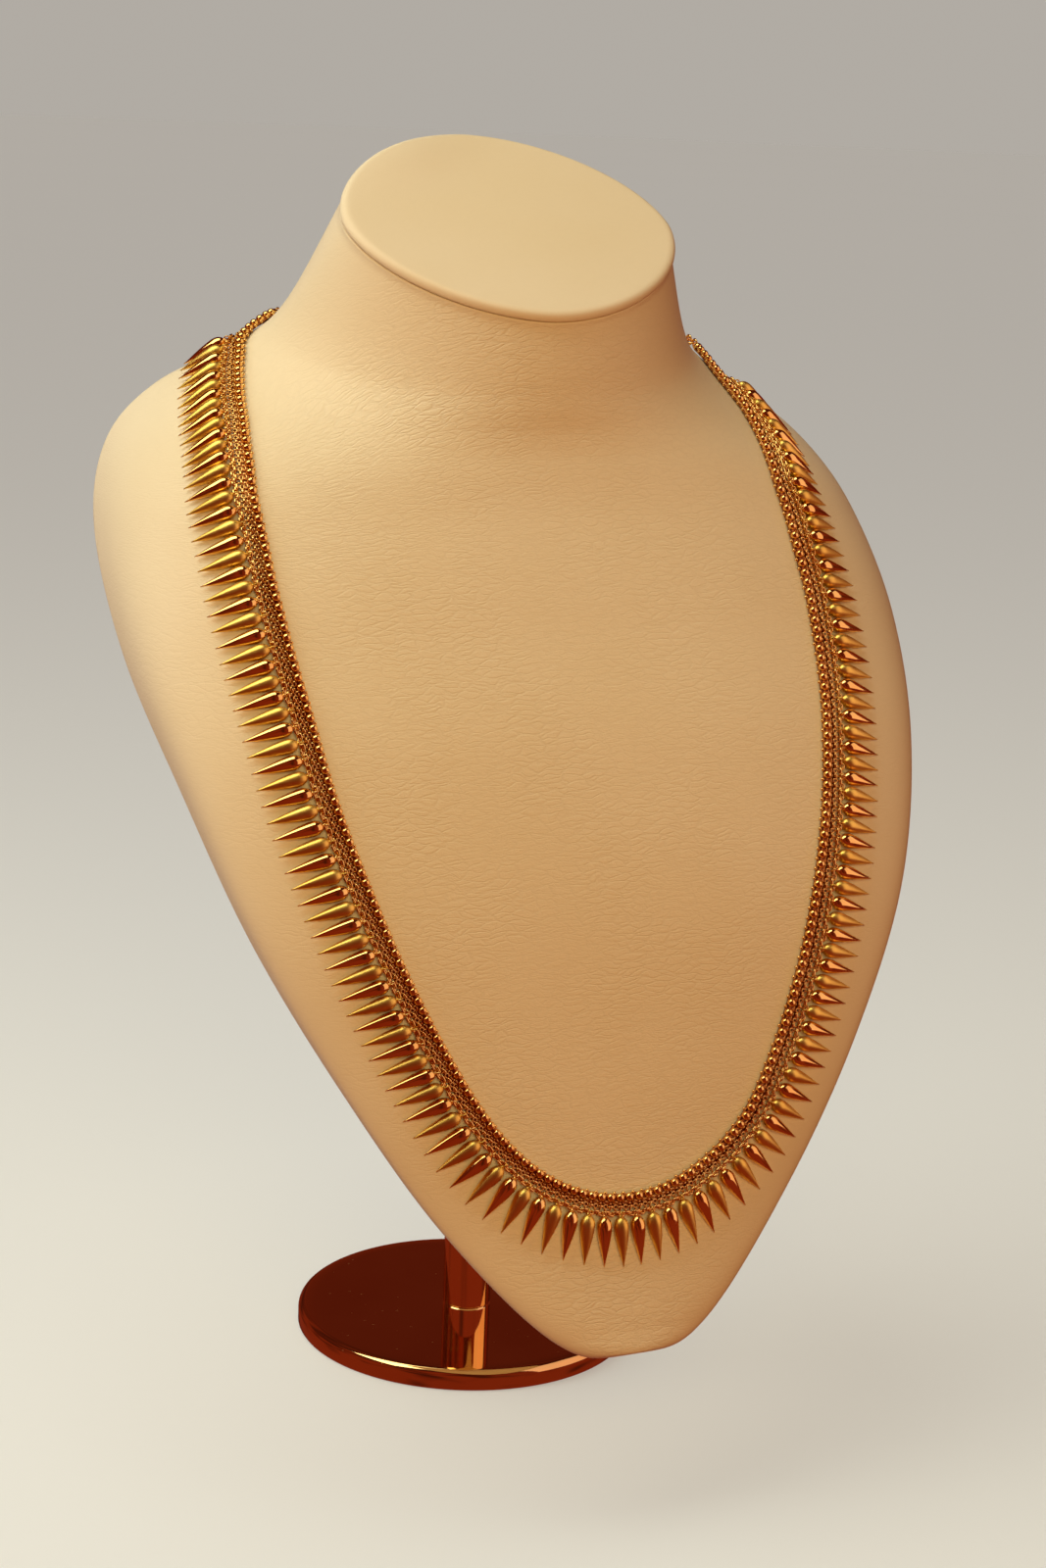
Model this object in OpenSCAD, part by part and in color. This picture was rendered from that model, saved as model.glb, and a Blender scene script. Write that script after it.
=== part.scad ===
/* [Base and post] */
// Diameter of the round brass base plate
base_d = 112; // [90:1:140]
// Thickness of the base plate
base_t = 7; // [5:0.5:10]
// Diameter of the brass post
post_d = 15.5; // [12:0.5:18]
// Height of the post above the base plate
post_h = 290; // [284:1:298]
// Place of the post across the base, from its middle
post_x = -13.5; // [-20:0.5:0]
// Place of the post fore and aft on the base, from its middle
post_y = -31.5; // [-40:0.5:-20]
// Height of the joint line where the post turns in its foot
post_joint_h = 15; // [10:1:25]

/* [Neck form] */
// Widest half width of the form, at the shoulders
form_half_w = 124.5; // [110:0.1:136]
// Half width of the neck's top
neck_half_w = 53; // [48:0.5:56]
// Half depth of the neck's top, fore and aft
neck_half_d = 43.5; // [40:0.5:46]
// Forward slope of the neck's top, in degrees
neck_tilt = 34; // [28:1:38]
// Thickness of the padded cap on the neck
cap_t = 4; // [3:0.5:6]

/* [Beaded band] */
// Distance between the middles of two beads of the inner row
bead_pitch = 3; // [2.8:0.05:3.2]
// Diameter of a bead of the inner row
bead_d = 2.7; // [2.4:0.05:2.8]
// Number of beads in the inner row
bead_count = 213; // [201:2:215]
// Width of the woven band beside the bead row
weave_w = 3.2; // [3:0.1:3.4]
// Thickness of the woven band
weave_t = 1.6; // [1.2:0.1:1.8]
// Diameter of the outer chain that carries the buds
chain_d = 1.1; // [0.9:0.05:1.15]
// Distance of the outer chain from the bead row
chain_out = 4.6; // [4.55:0.05:4.8]

/* [Buds] */
// Number of buds, satin and polished in turn
bud_count = 130; // [120:2:132]
// Distance between two buds along the band
bud_pitch = 4.65; // [4.55:0.01:4.65]
// Largest diameter of a bud
bud_d = 4.15; // [3.6:0.05:4.3]
// Length of a bud from its head to its point
bud_l = 14.6; // [12:0.2:16]
// Middle radius of the eye on a bud's head
eye_r = 0.92; // [0.88:0.01:0.95]
// Wire diameter of that eye
eye_wire = 0.42; // [0.36:0.02:0.44]

/* [Back chain and clasp] */
// Middle radius of a ring of the back chain
link_r = 1.5; // [1.4:0.05:1.6]
// Wire diameter of a ring of the back chain
link_wire = 0.6; // [0.5:0.05:0.7]
// Length of the clasp's barrel
clasp_l = 9; // [7:0.5:11]
// Diameter of the clasp's barrel
clasp_d = 3; // [2.6:0.1:3.2]

/* [Hidden] */

gold = [0.86, 0.62, 0.24];
satin_gold = [0.80, 0.58, 0.26];
brass = [0.80, 0.58, 0.30];
cream = [0.90, 0.80, 0.62];

// Small running gaps: between solid pieces, above the leather, round a ring's wire
seat_gap = 0.2;
skin_gap = 0.35;
ring_gap = 0.1;

// Sections of the form from its lower tip up to the neck's top. The widest line of
// a section lies at [y, z] from the post's foot; tilt leans the section back.
// Columns: section number, y, z, tilt, half width, depth in front, depth behind,
// squareness
sections = [
    [0, -118.0, 47.0, 27, 1.0, 1.0, 1.5, 2.00],
    [1, -115.5, 53.0, 27, 24.0, 5.5, 7.0, 2.05],
    [2, -105.0, 86.0, 27, 55.0, 7.0, 10.0, 2.20],
    [3, -94.5, 126.0, 26, 81.5, 9.5, 12.0, 2.45],
    [4, -78.5, 168.0, 24, 104.0, 15.5, 13.0, 2.70],
    [5, -54.5, 207.5, 21, 117.5, 24.5, 13.0, 2.85],
    [6, -22.0, 241.0, 17, form_half_w, 39.5, 14.0, 2.90],
    [7, 13.0, 272.0, 8, 122.5, 60.0, 16.0, 2.85],
    [8, 31.0, 294.5, 0, 113.5, 72.0, 19.5, 2.55],
    [9, 33.5, 310.0, -6, 98.0, 73.0, 23.5, 2.25],
    [10, 24.0, 321.5, -10, 77.0, 64.0, 31.5, 2.00],
    [11, 13.0, 332.5, -16, 65.0, 54.0, 37.5, 1.90],
    [12, -2.0, 359.0, -neck_tilt, neck_half_w, neck_half_d, neck_half_d, 1.80]
];
SEC_Y = 1;
SEC_Z = 2;
SEC_TILT = 3;
SEC_W = 4;
SEC_FRONT = 5;
SEC_BACK = 6;
SEC_SQUARE = 7;
last_section = len(sections) - 1;
form_rings = 56;
form_sides = 48;

// Route of the bead row over the form, from the middle of the nape over the right
// shoulder, down the front, up the left side and back to the nape.
// Columns: bead number from the middle of the front, section number, angle round
// that section (0 right, 90 front, 180 left)
route = [
    [-141, 10.40, -90], [-132, 10.40, -68], [-123.5, 10.20, -46.6],
    [-117, 10.03, -27.3], [-111, 10.22, -0.8], [-105, 10.01, 17.3], [-101, 9.61, 28.8],
    [-97, 9.09, 39.4], [-93, 8.41, 48.6], [-88, 7.52, 56.3], [-82, 6.76, 58.7],
    [-74, 6.09, 58.3], [-64, 5.33, 57.3], [-54, 4.64, 56.7], [-44, 3.99, 56.6],
    [-36, 3.48, 56.2], [-28, 2.99, 57], [-21, 2.57, 60.5], [-15, 2.31, 68.8],
    [-10, 2.15, 79.5], [-5, 2.10, 91.1], [0, 2.17, 102.7], [5, 2.34, 112.6],
    [10, 2.59, 119.3], [15, 2.88, 122.9], [21, 3.26, 124.9], [28, 3.68, 126],
    [36, 4.18, 126.7], [46, 4.82, 127.5], [56, 5.50, 127], [66, 6.23, 127.7],
    [76, 7.20, 130.9], [83, 8.25, 138.6], [88, 9.01, 148.1], [92, 9.45, 157.5],
    [96, 9.81, 167.9], [100, 10.14, 179.2], [104, 10.40, 197], [107, 10.58, 207.4],
    [111.5, 10.39, 222.7], [117.5, 9.92, 241], [124.5, 10.14, 255.5], [131, 10.40, 270]
];
length_step = 1;
// Beads either way over which the row's direction is taken
direction_reach = 6;

RIGHT = 1;
LEFT = -1;

// Smooth curve through a table whose first column grows, at the value x of that column
function slope_between(table, i) =
    (table[i + 1] - table[i]) / (table[i + 1][0] - table[i][0]);
function slope_at(table, i) =
    i == 0 ? slope_between(table, 0)
    : i == len(table) - 1 ? slope_between(table, i - 1)
    : let (before = table[i][0] - table[i - 1][0], after = table[i + 1][0] - table[i][0])
        (slope_between(table, i - 1) * after + slope_between(table, i) * before)
            / (before + after);
function curve_at(table, x) =
    let (
        i = max([0, for (n = [1:len(table) - 2]) if (table[n][0] <= x) n]),
        h = table[i + 1][0] - table[i][0],
        t = (x - table[i][0]) / h
    )
    table[i] * (1 + 2 * t) * (1 - t) * (1 - t) + table[i + 1] * t * t * (3 - 2 * t)
        + h * t * (1 - t) * (slope_at(table, i) * (1 - t) - slope_at(table, i + 1) * t);

function unit(v) = v / norm(v);
function signed_pow(v, e) = sign(v) * pow(abs(v), e);

// Point of the leather at section number k and angle a, from the post's foot
function form_point(k, a) =
    let (
        row = curve_at(sections, k),
        e = 2 / row[SEC_SQUARE],
        depth = (sin(a) > 0 ? row[SEC_FRONT] : row[SEC_BACK]) * signed_pow(sin(a), e)
    )
    [
        row[SEC_W] * signed_pow(cos(a), e),
        row[SEC_Y] - depth * cos(row[SEC_TILT]),
        row[SEC_Z] + depth * sin(row[SEC_TILT])
    ];

k_step = 0.01;
a_step = 0.5;
function along_sections(k, a) =
    (form_point(k + k_step, a) - form_point(k - k_step, a)) / (2 * k_step);
function round_section(k, a) =
    (form_point(k, a + a_step) - form_point(k, a - a_step)) / (2 * a_step);
function form_normal(k, a) = unit(cross(along_sections(k, a), round_section(k, a)));

// Length along the bead row from its middle, below zero on the right half, against
// the bead number
first_bead = route[0][0];
last_bead = route[len(route) - 1][0];
function row_point(bead) =
    let (r = curve_at(route, min(max(bead, first_bead), last_bead))) form_point(r[1], r[2]);
row_points = [for (bead = [first_bead:length_step:last_bead]) row_point(bead)];
row_lengths = [
    for (i = 0, s = 0; i < len(row_points);
        s = s + (i + 1 < len(row_points) ? norm(row_points[i + 1] - row_points[i]) : 0),
        i = i + 1) s
];
middle_length = row_lengths[-first_bead / length_step];
length_to_bead = [
    for (i = [0:len(row_lengths) - 1])
        [row_lengths[i] - middle_length, first_bead + i * length_step]
];
right_nape = length_to_bead[0][0];
left_nape = length_to_bead[len(length_to_bead) - 1][0];

// A place on the bead row at length s: section number, angle, and their growth for
// each millimetre outwards from the row, or for a way that leans along the row
function place(s, lean = 0) =
    let (
        bead = lookup(s, length_to_bead),
        r = curve_at(route, bead),
        k = r[1],
        a = r[2],
        along = unit(row_point(bead + direction_reach) - row_point(bead - direction_reach)),
        out = cos(lean) * unit(cross(form_normal(k, a), along)) + sin(lean) * along,
        dk = along_sections(k, a),
        da = round_section(k, a),
        kk = dk * dk,
        ka = dk * da,
        aa = da * da,
        det = kk * aa - ka * ka
    )
    [k, a, (aa * (out * dk) - ka * (out * da)) / det,
        (kk * (out * da) - ka * (out * dk)) / det];

// Point a distance out from the bead row and a height above the leather
function over(p, out, height) =
    let (
        rough = form_point(p[0] + out * p[2], p[1] + out * p[3]),
        reach = norm(rough - form_point(p[0], p[1])),
        step = reach > 0 ? out * abs(out) / reach : 0,
        k = p[0] + step * p[2],
        a = p[1] + step * p[3]
    )
    form_point(k, a) + height * form_normal(k, a);

// Closed skin over a list of rings with the same number of points each
module skin(rings) {
    n = len(rings[0]);
    last = len(rings) - 1;
    polyhedron(
        points = [for (ring = rings) each ring],
        faces = [
            [for (j = [0:n - 1]) j],
            for (i = [0:last - 1], j = [0:n - 1])
                let (m = (j + 1) % n)
                each [
                    [i * n + j, (i + 1) * n + j, i * n + m],
                    [i * n + m, (i + 1) * n + j, (i + 1) * n + m]
                ],
            [for (j = [n - 1:-1:0]) last * n + j]
        ],
        convexity = 8
    );
}

// Turn and shift a shape so that its z runs along axis and its x close to side
module stand_at(point, axis, side) {
    z = unit(axis);
    y = unit(cross(z, side));
    x = cross(y, z);
    multmatrix([
        [x[0], y[0], z[0], point[0]],
        [x[1], y[1], z[1], point[1]],
        [x[2], y[2], z[2], point[2]],
        [0, 0, 0, 1]
    ]) children();
}

module on_post() {
    translate([post_x, post_y, base_t]) children();
}

module ring_of(middle_radius, wire) {
    rotate_extrude() translate([middle_radius, 0]) circle(d = wire);
}

rim_round = 2.5;
foot_depth = 3;
module base_plate() {
    color(brass) difference() {
        rotate_extrude() {
            square([base_d / 2 - rim_round, base_t]);
            square([base_d / 2, base_t - rim_round]);
            translate([base_d / 2 - rim_round, base_t - rim_round]) circle(r = rim_round);
        }
        translate([post_x, post_y, base_t - foot_depth])
            cylinder(d = post_d + seat_gap, h = foot_depth + 1);
    }
}

post_wall = 1.2;
joint_line = 0.4;
module post() {
    foot = -foot_depth + seat_gap / 2;
    color(brass) on_post() difference() {
        translate([0, 0, foot]) cylinder(d = post_d, h = post_h - foot);
        translate([0, 0, foot - 1]) cylinder(d = post_d - 2 * post_wall, h = post_h - foot + 2);
        translate([0, 0, post_joint_h]) difference() {
            cylinder(d = post_d + 2, h = joint_line);
            translate([0, 0, -1]) cylinder(d = post_d - joint_line, h = joint_line + 2);
        }
    }
}

socket_start = 200;
module neck_form() {
    rings = [
        for (i = [0:form_rings])
            [for (j = [0:form_sides - 1])
                form_point(i * last_section / form_rings, j * 360 / form_sides)]
    ];
    color(cream) on_post() difference() {
        skin(rings);
        translate([0, 0, socket_start])
            cylinder(d = post_d + 2 * seat_gap, h = post_h - socket_start + seat_gap);
    }
}

// Rolled edge of the neck's cap. Columns: share of the thickness, share of the width
cap_edge = [[0, 0.985], [0.25, 1.012], [0.6, 1.012], [0.85, 0.995], [1, 0.96], [1.06, 0.7]];
module neck_cap() {
    row = sections[last_section];
    up = [0, -sin(neck_tilt), cos(neck_tilt)];
    front = [0, -cos(neck_tilt), -sin(neck_tilt)];
    foot = [0, row[SEC_Y], row[SEC_Z]] + seat_gap * up;
    e = 2 / row[SEC_SQUARE];
    rings = [
        for (level = cap_edge)
            [for (j = [0:form_sides - 1])
                let (
                    a = j * 360 / form_sides,
                    w = level[1] * row[SEC_W] * signed_pow(cos(a), e),
                    d = level[1] * row[SEC_FRONT] * signed_pow(sin(a), e)
                )
                foot + level[0] * cap_t * up + [w, 0, 0] + d * front]
    ];
    color(cream) on_post() skin(rings);
}

// Outline of the woven band: a flat weave whose inner edge swells up to the beads.
// Columns: distance out from the bead row, height above the band's underside
function band_outline() =
    let (r = bead_d / 2, top = weave_t * 0.9 + r)
    [
        [-r, 0.2], [weave_w, 0], [weave_w + 0.1, weave_t / 2], [weave_w, weave_t],
        [r, weave_t],
        for (a = [35:36:145]) [r * cos(a), top - r + r * sin(a)],
        [-r, weave_t * 0.9]
    ];
band_half = bead_count * bead_pitch / 2;
band_ring_gap = 5.75;
module bead_band(side) {
    steps = ceil(band_half / band_ring_gap);
    positions = [
        for (i = [0:steps])
            let (s = seat_gap / 2 + (band_half - seat_gap / 2) * i / steps) -side * s
    ];
    ordered = side == LEFT ? positions : [for (i = [steps:-1:0]) positions[i]];
    rings = [
        for (s = ordered)
            let (p = place(s)) [for (q = band_outline()) over(p, q[0], q[1] + skin_gap)]
    ];
    color(gold) on_post() skin(rings);
}
module bead_band_left() { bead_band(LEFT); }
module bead_band_right() { bead_band(RIGHT); }

// Height of the bud chain, at which the buds just clear the leather
chain_height = skin_gap + bud_d / 2 + 0.55;
chain_sides = 8;
buds_half = bud_count / 2;
module bud_chain(side) {
    positions = [
        seat_gap / 2,
        for (i = [0:buds_half - 1]) (i + 0.5) * bud_pitch,
        (buds_half + 0.3) * bud_pitch
    ];
    last = len(positions) - 1;
    ordered = side == LEFT ? positions : [for (i = [last:-1:0]) -positions[i]];
    rings = [
        for (s = ordered)
            let (p = place(s)) [
                for (j = [0:chain_sides - 1])
                    let (a = -j * 360 / chain_sides)
                    over(p, chain_out + chain_d / 2 * cos(a), chain_height + chain_d / 2 * sin(a))
            ]
    ];
    color(gold) on_post() skin(rings);
}
module bud_chain_left() { bud_chain(LEFT); }
module bud_chain_right() { bud_chain(RIGHT); }

// Radius of a bud at a share t of its length, as a share of its largest radius:
// an elliptic head, then a taper that closes slowly to the point
bud_widest = 0.2;
bud_taper = 1.3;
function bud_swell(t) =
    t < bud_widest
        ? sqrt(1 - pow(1 - t / bud_widest, 2))
        : 1 - pow((t - bud_widest) / (1 - bud_widest), bud_taper);
bud_steps = 10;
tip_r = 0.12;
module bud() {
    outline = [
        for (i = [1:bud_steps])
            let (t = pow(i / bud_steps, 1.5))
            [max(bud_d / 2 * bud_swell(t), tip_r), bud_l * t]
    ];
    rotate([0, 90, 0]) ring_of(eye_r, eye_wire);
    translate([0, 0, eye_r]) rotate_extrude()
        polygon(concat([[0, 0], [eye_wire, 0]], outline, [[0, bud_l]]));
}

// How high the bud's point lies above the leather
tip_height = 1.1;
// Lean of the buds towards the nearer shoulder. Columns: distance along the row from
// the middle, degrees
bud_lean = [
    [0, 0], [15, 6], [30, 12], [50, 14], [70, 12], [90, 9], [110, 7], [130, 4.5],
    [150, 2], [180, -1], [210, -3], [240, -5], [270, -7], [310, -7]
];
module buds(first) {
    on_post() for (i = [first:2:bud_count - 1]) {
        s = (i + 0.5 - buds_half) * bud_pitch;
        eye = over(place(s), chain_out, chain_height);
        point = over(place(s, sign(s) * lookup(abs(s), bud_lean)), chain_out + eye_r + bud_l,
            tip_height);
        stand_at(eye, point - eye, over(place(s + 1), chain_out, chain_height) - eye) bud();
    }
}
module satin_buds() { color(satin_gold) buds(0); }
module polished_buds() { color(gold) buds(1); }

// Rings of the back chain lean to either side in turn, so that each holds the next
ring_lean = 45;
link_height = skin_gap + clasp_d / 2 + seat_gap;
end_ball_d = 2.9;
end_out = 0.8;
end_ball = band_half + seat_gap + end_ball_d / 2;
end_eye = end_ball + end_ball_d / 2 + link_r - link_wire / 2;
clasp_eye = clasp_l / 2 + link_r - link_wire / 2;
link_pitch = 2 * link_r - link_wire - 4 * ring_gap;

function link_spot(s) = over(place(s), end_out, link_height);

module leaning_ring(s, turn) {
    along = link_spot(s + 0.5) - link_spot(s - 0.5);
    p = place(s);
    up = form_normal(p[0], p[1]);
    stand_at(link_spot(s), along, up) rotate([0, 0, turn * ring_lean]) rotate([90, 0, 0])
        ring_of(link_r, link_wire);
}

// Signed length of the nape's middle on a side, and the number of rings to reach it
function nape(side) = side == LEFT ? left_nape : right_nape;
function side_sign(side) = side == LEFT ? 1 : -1;
function ring_steps(side) =
    ceil((abs(nape(side)) - end_eye - clasp_eye) / link_pitch);
function ring_place(side, i) =
    side_sign(side) * (end_eye + (abs(nape(side)) - end_eye - clasp_eye) * i / ring_steps(side));

module band_end(side) {
    ball = over(place(side_sign(side) * end_ball), end_out, end_ball_d / 2 + skin_gap);
    color(gold) on_post() {
        translate(ball) sphere(d = end_ball_d);
        leaning_ring(ring_place(side, 0), 1);
    }
}
module band_end_left() { band_end(LEFT); }
module band_end_right() { band_end(RIGHT); }

module back_chain(side) {
    color(gold) on_post() for (i = [1:ring_steps(side) - 1])
        leaning_ring(ring_place(side, i), i % 2 == 0 ? 1 : -1);
}
module back_chain_left() { back_chain(LEFT); }
module back_chain_right() { back_chain(RIGHT); }

module clasp() {
    ends = [for (side = [RIGHT, LEFT]) ring_place(side, ring_steps(side))];
    spots = [for (s = ends) link_spot(s)];
    axis = spots[1] - spots[0];
    color(gold) on_post() {
        stand_at((spots[0] + spots[1]) / 2, axis, [0, 0, 1])
            translate([0, 0, -clasp_l / 2]) cylinder(d = clasp_d, h = clasp_l);
        for (side = [RIGHT, LEFT])
            leaning_ring(ring_place(side, ring_steps(side)),
                ring_steps(side) % 2 == 0 ? 1 : -1);
    }
}

base_plate();
post();
neck_form();
neck_cap();
bead_band_left();
bead_band_right();
bud_chain_left();
bud_chain_right();
satin_buds();
polished_buds();
band_end_left();
band_end_right();
back_chain_left();
back_chain_right();
clasp();
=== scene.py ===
"""A long fringe necklace of gold jasmine buds on a leather neck bust with a brass stand.

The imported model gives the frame. Each operator below makes one piece, or one group of
like pieces, and one operator makes the floor, the lights and the camera. Shapes are
worked out in millimetres from the post's foot and written to their meshes in metres.
"""

import math

import bpy
import numpy as np
from mathutils import Matrix, Vector
from numpy.polynomial.polynomial import polyval


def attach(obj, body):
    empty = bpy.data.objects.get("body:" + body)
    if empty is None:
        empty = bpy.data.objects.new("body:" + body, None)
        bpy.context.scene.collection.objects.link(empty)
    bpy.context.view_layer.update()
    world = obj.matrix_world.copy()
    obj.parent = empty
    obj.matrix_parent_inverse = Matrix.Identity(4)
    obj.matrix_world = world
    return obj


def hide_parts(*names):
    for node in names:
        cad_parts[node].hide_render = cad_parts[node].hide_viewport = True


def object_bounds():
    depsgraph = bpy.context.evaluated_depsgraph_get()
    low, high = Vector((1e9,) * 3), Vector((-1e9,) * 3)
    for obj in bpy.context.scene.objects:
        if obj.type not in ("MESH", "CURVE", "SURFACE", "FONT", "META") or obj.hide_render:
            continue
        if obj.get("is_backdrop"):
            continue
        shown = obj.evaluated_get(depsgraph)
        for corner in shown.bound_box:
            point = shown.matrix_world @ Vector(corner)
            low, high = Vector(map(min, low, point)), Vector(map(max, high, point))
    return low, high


bl_info = {
    "name": "Jasmine Bud Necklace",
    "version": (1, 0, 0),
    "blender": (4, 5, 0),
    "location": "3D View > Sidebar > Necklace",
    "description": "Builds a fringe necklace of gold buds on a leather neck bust",
    "category": "Add Mesh",
}

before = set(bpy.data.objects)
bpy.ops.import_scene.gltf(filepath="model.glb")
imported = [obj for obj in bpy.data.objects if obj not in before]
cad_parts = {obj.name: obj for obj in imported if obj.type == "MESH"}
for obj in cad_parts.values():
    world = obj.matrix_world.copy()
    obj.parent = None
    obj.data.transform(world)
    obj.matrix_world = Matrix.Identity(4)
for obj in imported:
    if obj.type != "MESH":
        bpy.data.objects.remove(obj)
CAD_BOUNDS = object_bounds()

# Sizes and places as in the source, in millimetres and degrees

MM = 0.001
LEFT = 1
RIGHT = -1
SIDES = {"left": LEFT, "right": RIGHT}

BASE_D = 112.0
BASE_T = 7.0
POST_D = 15.5
POST_H = 290.0
POST_SOCKET = 2.9
POST_JOINT_H = 15.0
POST_FOOT = np.array([-13.5, -31.5, BASE_T])
CAP_T = 4.0

# Sections of the form from its lower tip to the neck's top. Columns: section number, y,
# z, tilt in degrees, half width, depth in front, depth behind, squareness
SECTIONS = np.array(
    [
        [0, -118.0, 47.0, 27, 1.0, 1.0, 1.5, 2.00],
        [1, -115.5, 53.0, 27, 24.0, 5.5, 7.0, 2.05],
        [2, -105.0, 86.0, 27, 55.0, 7.0, 10.0, 2.20],
        [3, -94.5, 126.0, 26, 81.5, 9.5, 12.0, 2.45],
        [4, -78.5, 168.0, 24, 104.0, 15.5, 13.0, 2.70],
        [5, -54.5, 207.5, 21, 117.5, 24.5, 13.0, 2.85],
        [6, -22.0, 241.0, 17, 124.5, 39.5, 14.0, 2.90],
        [7, 13.0, 272.0, 8, 122.5, 60.0, 16.0, 2.85],
        [8, 31.0, 294.5, 0, 113.5, 72.0, 19.5, 2.55],
        [9, 33.5, 310.0, -6, 98.0, 73.0, 23.5, 2.25],
        [10, 24.0, 321.5, -10, 77.0, 64.0, 31.5, 2.00],
        [11, 13.0, 332.5, -16, 65.0, 54.0, 37.5, 1.90],
        [12, -2.0, 359.0, -34, 53.0, 43.5, 43.5, 1.80],
    ]
)
SEC_Y, SEC_Z, SEC_TILT, SEC_WIDTH, SEC_FRONT, SEC_BACK, SEC_SQUARE = range(7)
TOP_SECTION = SECTIONS[-1, 0]

# The form's rounded lower end, as cubics in the share of the way from its lowest point
# to section 1, lowest power first: rise of the middle in y and in z, and half width
TIP_Y = (0, 0, 1.0, 1.5)
TIP_Z = (0, 0, -1.5, 7.5)
TIP_WIDTH = (0, 34.0, -23.0, 13.0)

# Route of the bead row. Columns: bead number from the middle of the front, section
# number, angle round that section in degrees
ROUTE = np.array(
    [
        [-141, 10.40, -90], [-132, 10.40, -68], [-123.5, 10.20, -46.6],
        [-117, 10.03, -27.3], [-111, 10.22, -0.8], [-105, 10.01, 17.3],
        [-101, 9.61, 28.8], [-97, 9.09, 39.4], [-93, 8.41, 48.6], [-88, 7.52, 56.3],
        [-82, 6.76, 58.7], [-74, 6.09, 58.3], [-64, 5.33, 57.3], [-54, 4.64, 56.7],
        [-44, 3.99, 56.6], [-36, 3.48, 56.2], [-28, 2.99, 57], [-21, 2.57, 60.5],
        [-15, 2.31, 68.8], [-10, 2.15, 79.5], [-5, 2.10, 91.1], [0, 2.17, 102.7],
        [5, 2.34, 112.6], [10, 2.59, 119.3], [15, 2.88, 122.9], [21, 3.26, 124.9],
        [28, 3.68, 126], [36, 4.18, 126.7], [46, 4.82, 127.5], [56, 5.50, 127],
        [66, 6.23, 127.7], [76, 7.20, 130.9], [83, 8.25, 138.6], [88, 9.01, 148.1],
        [92, 9.45, 157.5], [96, 9.81, 167.9], [100, 10.14, 179.2], [104, 10.40, 197],
        [107, 10.58, 207.4], [111.5, 10.39, 222.7], [117.5, 9.92, 241],
        [124.5, 10.14, 255.5], [131, 10.40, 270],
    ]
)

# Beads on each side of a place whose points settle the row's direction there
DIRECTION_REACH = 6

# Lean of the buds towards the nearer shoulder: distance along the row, degrees
BUD_LEAN = np.array(
    [
        [0, 0], [15, 6], [30, 12], [50, 14], [70, 12], [90, 9], [110, 7], [130, 4.5],
        [150, 2], [180, -1], [210, -3], [240, -5], [270, -7], [310, -7],
    ]
)

# Small gaps: above the leather, between two pieces, round a ring's wire
SKIN_GAP = 0.35
SEAT_GAP = 0.2
RING_GAP = 0.1

# The beaded band. Heights here and below are counted from the skin gap
BEAD_COUNT = 213
BEAD_PITCH = 3.0
BEAD_HEIGHT = 1.49
BAND_HALF = BEAD_COUNT * BEAD_PITCH / 2
END_BALL_D = 2.9
END_BALL_AT = BAND_HALF + SEAT_GAP + END_BALL_D / 2
END_OUT = 0.8

# The outer chain and its buds. A bud's body starts a little past its eye's middle
CHAIN_OUT = 4.6
CHAIN_PITCH = 3.0
BUD_COUNT = 130
BUD_PITCH = 4.65
BUD_LENGTH = 14.6
BUD_RADIUS = 2.2
BUD_START = 0.8
EYE_R = 0.92
EYE_WIRE = 0.42
EYE_HEIGHT = 2.625
TIP_HEIGHT = 1.1

# The back chain and its clasp
LINK_R = 1.5
LINK_WIRE = 0.6
CLASP_LENGTH = 9.0
CLASP_D = 3.0

# The form and the bead row


def curve_at(table, x):
    """Smooth curve through a table whose first column grows: a cubic between each two
    rows, whose slopes are the rows' own slopes weighted by the other span."""
    knots, values = table[:, 0], table[:, 1:]
    x = np.asarray(x, float)
    span = np.diff(knots)
    between = np.diff(values, axis=0) / span[:, None]
    slope = np.empty_like(values)
    slope[0], slope[-1] = between[0], between[-1]
    weight = (span[:-1] + span[1:])[:, None]
    slope[1:-1] = (between[:-1] * span[1:, None] + between[1:] * span[:-1, None]) / weight
    i = np.clip(np.searchsorted(knots, x, side="right") - 1, 0, len(knots) - 2)
    t = ((x - knots[i]) / span[i])[..., None]
    h = span[i][..., None]
    return (
        values[i] * (1 + 2 * t) * (1 - t) ** 2
        + values[i + 1] * t * t * (3 - 2 * t)
        + h * t * (1 - t) * (slope[i] * (1 - t) - slope[i + 1] * t)
    )


def signed_power(value, power):
    """The power of the value's size, with the value's sign."""
    return np.sign(value) * np.abs(value) ** power


def unit(vectors):
    """Each vector by its own length."""
    return vectors / np.linalg.norm(vectors, axis=-1, keepdims=True)


def dot(a, b):
    """Sum of the products of two vectors' parts."""
    return (a * b).sum(-1)


def section_point(row, a):
    """Point at angle a in degrees on a section: a squared oval across the section's
    widest line, leant by the section's tilt."""
    a = np.radians(a)
    power = 2 / row[..., SEC_SQUARE]
    reach = np.where(np.sin(a) > 0, row[..., SEC_FRONT], row[..., SEC_BACK])
    depth = reach * signed_power(np.sin(a), power)
    tilt = np.radians(row[..., SEC_TILT])
    return np.stack(
        [
            row[..., SEC_WIDTH] * signed_power(np.cos(a), power),
            row[..., SEC_Y] - depth * np.cos(tilt),
            row[..., SEC_Z] + depth * np.sin(tilt),
        ],
        -1,
    )


def form_point(k, a):
    """Point of the leather at section number k and angle a in degrees."""
    k, a = np.broadcast_arrays(np.asarray(k, float), np.asarray(a, float))
    return section_point(curve_at(SECTIONS, k), a)


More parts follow.
